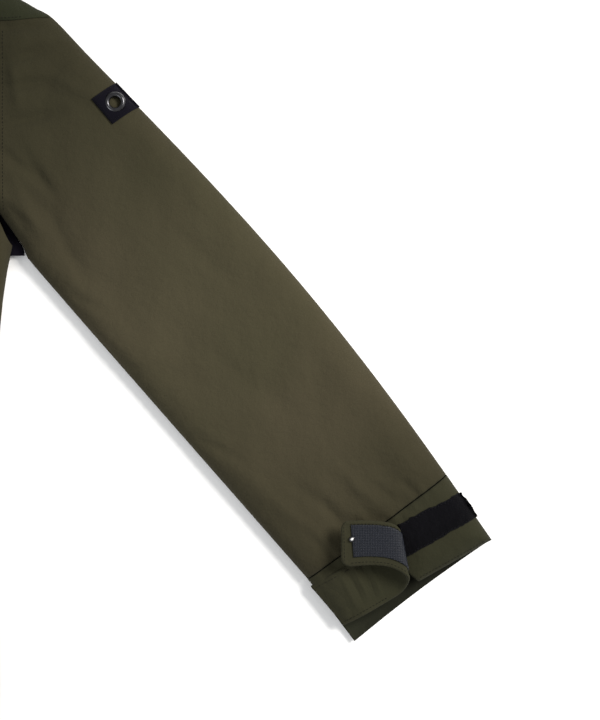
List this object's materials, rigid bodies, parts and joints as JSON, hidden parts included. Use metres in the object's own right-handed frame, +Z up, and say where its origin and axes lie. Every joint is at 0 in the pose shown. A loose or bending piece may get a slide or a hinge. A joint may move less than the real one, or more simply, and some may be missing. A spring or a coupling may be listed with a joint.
{
  "type": "beekeeping jacket",
  "caption": "Hooded work jacket laid flat, front up, with a mesh veil in the hood, front zip, patch pockets and hook-and-loop cuff tabs, in olive cotton.",
  "frame": {"origin": "on the surface the jacket lies on, under the middle of the back panel at chest height", "axes": "+Z up out of the front of the jacket, +Y towards the neck, +X towards the wearer's left"},
  "size_m": [1.4122, 1.16, 0.0434],
  "materials": {
    "shell_cloth": "matt brushed cotton",
    "yoke_cloth": "matt cotton",
    "rib_cloth": "ribbed knit",
    "trim_cloth": "matt webbing",
    "loop_tape": "fuzzy pile",
    "hook_tape": "moulded hooks",
    "zip_chain": "moulded teeth on woven tape",
    "netting": "open black mesh",
    "metal": "satin"
  },
  "bodies": {
    "body": {"back_panel": "shell_cloth", "front_panel_left": "shell_cloth", "front_panel_right": "shell_cloth", "shoulder_yoke_left": "yoke_cloth", "shoulder_yoke_right": "yoke_cloth", "underarm_gusset_left": "trim_cloth", "underarm_gusset_right": "trim_cloth", "hem_band_back": "rib_cloth", "hem_band_front_left": "rib_cloth", "hem_band_front_right": "rib_cloth", "collar_back": "shell_cloth", "collar_front_left": "shell_cloth", "collar_front_right": "shell_cloth", "hanger_loop": "trim_cloth", "wind_flap": "shell_cloth", "zip_tape_left": "zip_chain", "zip_tape_right": "zip_chain", "zip_retainer_box": "metal", "neck_zip_collar_half": "zip_chain", "pocket_bag_left": "shell_cloth", "pocket_bag_right": "shell_cloth", "press_stud_left": "metal", "press_stud_right": "metal"},
    "zip_slider": {"zip_slider": "metal"},
    "zip_pull": {"zip_pull": "metal"},
    "flap_left": {"pocket_flap_left": "shell_cloth", "press_cap_left": "metal"},
    "flap_right": {"pocket_flap_right": "shell_cloth", "press_cap_right": "metal"},
    "hood": {"hood_back": "shell_cloth", "hood_front": "shell_cloth", "veil_mesh": "netting", "veil_binding": "trim_cloth", "veil_hoop_upper": "metal", "veil_hoop_lower": "metal", "neck_zip_hood_half": "zip_chain"},
    "sleeve_left": {"left_sleeve_under": "shell_cloth", "left_sleeve_upper": "shell_cloth", "left_shoulder_cap": "yoke_cloth", "left_cuff_back": "shell_cloth", "left_cuff_front": "shell_cloth", "left_loop_tape": "loop_tape", "left_tab_root": "shell_cloth", "left_sleeve_patch": "trim_cloth", "left_sleeve_eyelet": "metal"},
    "tab_left": {"left_tab_leaf": "shell_cloth", "left_hook_tape": "hook_tape", "left_tab_rivet": "metal"},
    "sleeve_right": {"right_sleeve_under": "shell_cloth", "right_sleeve_upper": "shell_cloth", "right_shoulder_cap": "yoke_cloth", "right_cuff_back": "shell_cloth", "right_cuff_front": "shell_cloth", "right_loop_tape": "loop_tape", "right_tab_root": "shell_cloth"},
    "tab_right": {"right_tab_leaf": "shell_cloth", "right_hook_tape": "hook_tape", "right_tab_rivet": "metal"}
  },
  "joints": [
    {"name": "left_sleeve_fold", "type": "hinge", "parent": "body", "child": "sleeve_left", "pos_m": [0.25, 0.19, 0.029], "axis": [0, 1, 0], "range_deg": [-165, 0]},
    {"name": "right_sleeve_fold", "type": "hinge", "parent": "body", "child": "sleeve_right", "pos_m": [-0.25, 0.19, 0.029], "axis": [0, 1, 0], "range_deg": [0, 165]},
    {"name": "left_cuff_tab", "type": "hinge", "parent": "sleeve_left", "child": "tab_left", "pos_m": [0.61728, -0.2254, 0.0351], "axis": [-0.1857, 0.9826, 0], "range_deg": [0, 170]},
    {"name": "right_cuff_tab", "type": "hinge", "parent": "sleeve_right", "child": "tab_right", "pos_m": [-0.61728, -0.2254, 0.0351], "axis": [0.1857, 0.9826, 0], "range_deg": [-170, 0]},
    {"name": "zip_slide", "type": "slide", "parent": "body", "child": "zip_slider", "axis": [0, -1, 0], "range_m": [0, 0.745]},
    {"name": "zip_pull_swing", "type": "hinge", "parent": "zip_slider", "child": "zip_pull", "pos_m": [0, 0.374, 0.0312], "axis": [-1, 0, 0], "range_deg": [0, 150]},
    {"name": "left_pocket_flap", "type": "hinge", "parent": "body", "child": "flap_left", "pos_m": [0.152, -0.1177, 0.0381], "axis": [-1, 0, 0], "range_deg": [0, 150]},
    {"name": "right_pocket_flap", "type": "hinge", "parent": "body", "child": "flap_right", "pos_m": [-0.152, -0.1177, 0.0381], "axis": [1, 0, 0], "range_deg": [-150, 0]},
    {"name": "hood_fold", "type": "hinge", "parent": "body", "child": "hood", "pos_m": [0, 0.3999, 0.029], "axis": [1, 0, 0], "range_deg": [0, 90]}
  ]
}
